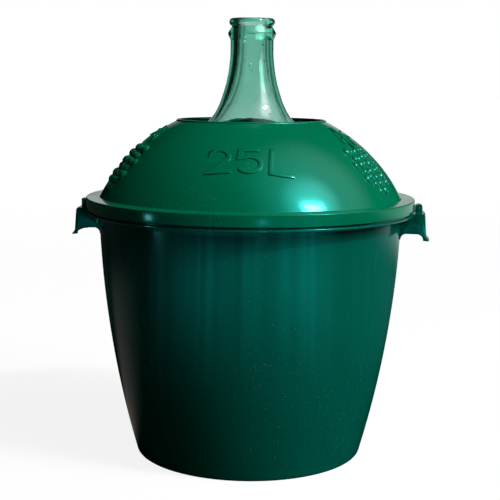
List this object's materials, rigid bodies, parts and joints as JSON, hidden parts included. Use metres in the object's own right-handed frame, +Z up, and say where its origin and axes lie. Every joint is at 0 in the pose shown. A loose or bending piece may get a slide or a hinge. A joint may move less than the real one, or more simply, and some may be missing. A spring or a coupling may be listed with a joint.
{
  "type": "demijohn",
  "caption": "Large round glass demijohn with a tall ringed neck, standing in a green plastic basket: a bowed tub with side handles and a domed lift-off cover with vine relief.",
  "frame": {"origin": "on the floor, under the middle of the bottle", "axes": "+Z up through the mouth; the front, with the capacity mark, faces -Y and the handles lie along X"},
  "size_m": [0.438, 0.4, 0.5298],
  "materials": {
    "glass": "clear, pale green",
    "tub_plastic": "gloss",
    "cover_plastic": "gloss"
  },
  "bodies": {
    "basket": {"basket_tub": "tub_plastic", "glass_bottle": "glass"},
    "cover": {"basket_cover": "cover_plastic"}
  },
  "joints": [
    {"name": "cover_lift", "type": "slide", "parent": "basket", "child": "cover", "axis": [0, 0, 1], "range_m": [0, 0.24]}
  ]
}
